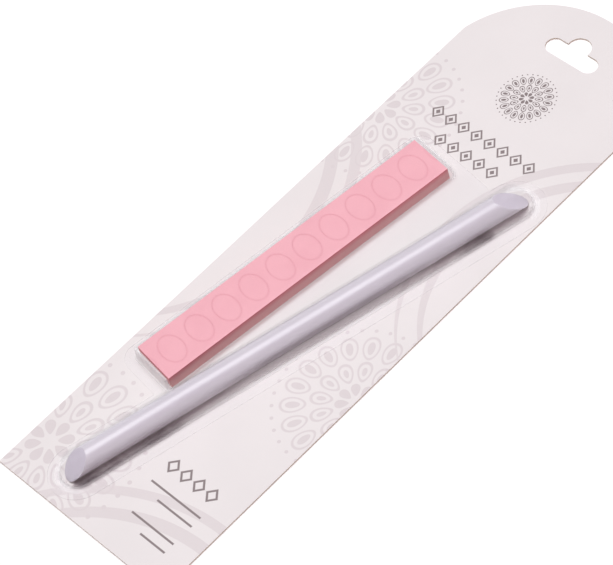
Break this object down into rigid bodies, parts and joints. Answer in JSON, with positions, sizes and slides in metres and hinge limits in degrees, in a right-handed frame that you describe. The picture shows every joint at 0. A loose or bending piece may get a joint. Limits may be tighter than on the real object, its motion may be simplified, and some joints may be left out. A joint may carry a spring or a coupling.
{
  "type": "carded cuticle pusher set",
  "caption": "Arched hang card with a clear two-pod blister over a slant-ended lavender cuticle pusher rod and a stack of pink peel-off oval abrasive tabs.",
  "frame": {"origin": "middle of the card's outline, on its back face", "axes": "+X across the card to the right, +Y up the card to its hang hole, +Z out of its printed face"},
  "size_m": [0.068, 0.2208, 0.0089],
  "materials": {
    "printed_board": "pale lilac-grey printed board with a satin coating",
    "clear_film": "clear formed film, glossy",
    "lavender_plastic": "smooth moulded plastic, glossy",
    "abrasive_carrier": "pink abrasive sheet on a pale release liner, matt",
    "abrasive_tab": "pink abrasive, matt"
  },
  "bodies": {
    "card": {"backing_card": "printed_board"},
    "blister": {"blister": "clear_film"},
    "pusher": {"pusher": "lavender_plastic"},
    "tab_pad": {"sheet_1_carrier": "abrasive_carrier", "sheet_1_tab_01": "abrasive_tab", "sheet_1_tab_02": "abrasive_tab", "sheet_1_tab_03": "abrasive_tab", "sheet_1_tab_04": "abrasive_tab", "sheet_1_tab_05": "abrasive_tab", "sheet_1_tab_06": "abrasive_tab", "sheet_1_tab_07": "abrasive_tab", "sheet_1_tab_08": "abrasive_tab", "sheet_1_tab_09": "abrasive_tab", "sheet_1_tab_10": "abrasive_tab", "sheet_2_carrier": "abrasive_carrier", "sheet_2_tab_01": "abrasive_tab", "sheet_2_tab_02": "abrasive_tab", "sheet_2_tab_03": "abrasive_tab", "sheet_2_tab_04": "abrasive_tab", "sheet_2_tab_05": "abrasive_tab", "sheet_2_tab_06": "abrasive_tab", "sheet_2_tab_07": "abrasive_tab", "sheet_2_tab_08": "abrasive_tab", "sheet_2_tab_09": "abrasive_tab", "sheet_2_tab_10": "abrasive_tab", "sheet_3_carrier": "abrasive_carrier", "sheet_3_tab_01": "abrasive_tab", "sheet_3_tab_02": "abrasive_tab", "sheet_3_tab_03": "abrasive_tab", "sheet_3_tab_04": "abrasive_tab", "sheet_3_tab_05": "abrasive_tab", "sheet_3_tab_06": "abrasive_tab", "sheet_3_tab_07": "abrasive_tab", "sheet_3_tab_08": "abrasive_tab", "sheet_3_tab_09": "abrasive_tab", "sheet_3_tab_10": "abrasive_tab", "sheet_4_carrier": "abrasive_carrier", "sheet_4_tab_01": "abrasive_tab", "sheet_4_tab_02": "abrasive_tab", "sheet_4_tab_03": "abrasive_tab", "sheet_4_tab_04": "abrasive_tab", "sheet_4_tab_05": "abrasive_tab", "sheet_4_tab_06": "abrasive_tab", "sheet_4_tab_07": "abrasive_tab", "sheet_4_tab_08": "abrasive_tab", "sheet_4_tab_09": "abrasive_tab", "sheet_4_tab_10": "abrasive_tab", "sheet_5_carrier": "abrasive_carrier", "sheet_5_tab_01": "abrasive_tab", "sheet_5_tab_02": "abrasive_tab", "sheet_5_tab_03": "abrasive_tab", "sheet_5_tab_04": "abrasive_tab", "sheet_5_tab_05": "abrasive_tab", "sheet_5_tab_06": "abrasive_tab", "sheet_5_tab_07": "abrasive_tab", "sheet_5_tab_08": "abrasive_tab", "sheet_5_tab_09": "abrasive_tab", "sheet_5_tab_10": "abrasive_tab"}
  },
  "joints": [
    {"name": "blister_peel", "type": "hinge", "parent": "card", "child": "blister", "pos_m": [-0.01495, -0.10743, 0.00065], "axis": [0.967, -0.2546, 0], "range_deg": [0, 95]},
    {"name": "pusher_roll", "type": "hinge", "parent": "card", "child": "pusher", "pos_m": [-0.01365, -0.1025, 0.0045], "axis": [0.2546, 0.967, 0], "range_deg": [-20, 20]},
    {"name": "tab_pad_slide", "type": "slide", "parent": "card", "child": "tab_pad", "axis": [0.1316, 0.9913, 0], "range_m": [-0.0006, 0.0006]}
  ]
}
